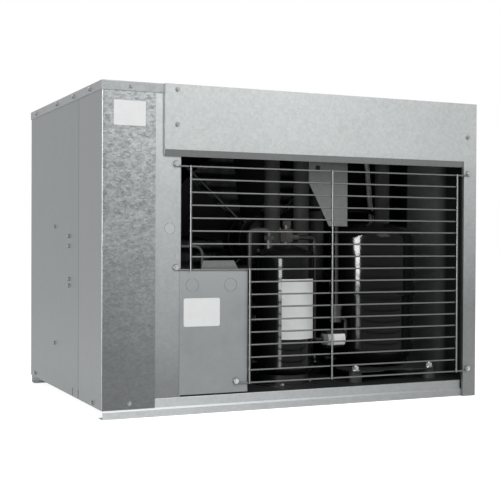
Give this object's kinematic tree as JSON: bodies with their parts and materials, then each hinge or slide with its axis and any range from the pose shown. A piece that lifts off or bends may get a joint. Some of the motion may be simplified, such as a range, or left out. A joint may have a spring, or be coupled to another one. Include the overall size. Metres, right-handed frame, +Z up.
{
  "type": "remote condenser",
  "caption": "Air-cooled refrigeration condensing unit in a galvanised cabinet, with compressor, receiver, fan and coil behind a wire guard and a control box on the left.",
  "frame": {"origin": "on the floor, under the middle of the whole unit", "axes": "+X along the front towards the coupling side, +Y from the guard to the coil, +Z up"},
  "size_m": [0.8716, 0.6085, 0.6477],
  "materials": {
    "galvanised": "spangled galvanised sheet",
    "zinc_screws": "dull zinc plate",
    "guard_wire": "bright plated wire",
    "cover_paint": "satin grey",
    "label": "blank paper label",
    "black_gloss": "gloss black enamel",
    "black_steel": "satin black",
    "rubber": "matt rubber",
    "foam": "closed-cell foam sleeve",
    "copper": "drawn copper tube",
    "brass": "machined brass",
    "aluminium": "plain mill finish",
    "motor_steel": "satin black enamel",
    "laminations": "stacked laminations",
    "bright_steel": "ground steel",
    "moulding": "moulded black",
    "red_button": "moulded red",
    "drier_paint": "dark enamel",
    "lead": "sheathed lead"
  },
  "bodies": {
    "cabinet": {"base_pan": "galvanised", "top_cover": "galvanised", "hood_panel": "galvanised", "left_column_panel": "galvanised", "left_rear_panel": "galvanised", "right_side_panel": "galvanised", "inner_post": "galvanised", "control_box": "galvanised", "fan_shroud": "galvanised", "hanging_bracket": "galvanised", "valve_bracket": "galvanised", "relay_bracket": "galvanised", "knock_outs": "galvanised", "coil_end_plates": "galvanised", "control_cover": "cover_paint", "cabinet_screws": "zinc_screws", "guard_screws": "zinc_screws", "mounting_bolts": "zinc_screws", "wire_guard": "guard_wire", "blank_labels": "label", "compressor_lower_shell": "black_gloss", "compressor_upper_shell": "black_gloss", "receiver_shell": "black_gloss", "receiver_foot": "black_steel", "compressor_feet": "black_steel", "compressor_grommets": "rubber", "terminal_cover": "moulding", "contactor_base": "moulding", "run_capacitor": "aluminium", "terminal_block": "moulding", "pressure_control": "black_steel", "control_lead": "lead", "capillary": "copper", "line_insulation": "foam", "suction_line": "copper", "coil_lines": "copper", "liquid_lines": "copper", "coil_tubes": "copper", "coil_fins": "aluminium", "receiver_fittings": "brass", "service_valves": "brass", "valve_caps": "brass", "head_pressure_valve": "brass", "filter_drier": "drier_paint", "motor_shell": "motor_steel", "motor_end_bells": "motor_steel", "motor_bolts": "zinc_screws", "motor_bushes": "brass", "motor_stator": "laminations", "motor_mount": "bright_steel"},
    "fan": {"fan_hub": "black_steel", "fan_blades": "aluminium", "hub_set_screw": "bright_steel", "motor_shaft": "bright_steel", "motor_rotor": "laminations"},
    "armature": {"contactor_armature": "moulding"},
    "reset": {"reset_button": "red_button"},
    "suction_spindle": {"suction_stem": "bright_steel"},
    "liquid_spindle": {"liquid_stem": "bright_steel"},
    "receiver_spindle": {"receiver_stem": "bright_steel"}
  },
  "joints": [
    {"name": "fan_spin", "type": "hinge", "parent": "cabinet", "child": "fan", "pos_m": [0.0242, 0.00325, 0.345], "axis": [0, 1, 0], "continuous": true},
    {"name": "contactor_slide", "type": "slide", "parent": "cabinet", "child": "armature", "axis": [0, 1, 0], "range_m": [0, 0.003], "stiffness_N_per_m": 400, "springref_m": -0.002},
    {"name": "reset_press", "type": "slide", "parent": "cabinet", "child": "reset", "axis": [0, 1, 0], "range_m": [0, 0.003], "stiffness_N_per_m": 500, "springref_m": -0.002},
    {"name": "suction_stem_turn", "type": "hinge", "parent": "cabinet", "child": "suction_spindle", "pos_m": [0.3898, -0.01675, 0.135], "axis": [0, 0, 1], "range_deg": [0, 1800]},
    {"name": "liquid_stem_turn", "type": "hinge", "parent": "cabinet", "child": "liquid_spindle", "pos_m": [0.3898, 0.02325, 0.13], "axis": [0, 0, 1], "range_deg": [0, 1800]},
    {"name": "receiver_stem_turn", "type": "hinge", "parent": "cabinet", "child": "receiver_spindle", "pos_m": [0.0142, -0.18475, 0.37], "axis": [0, 0, 1], "range_deg": [0, 1800]}
  ]
}
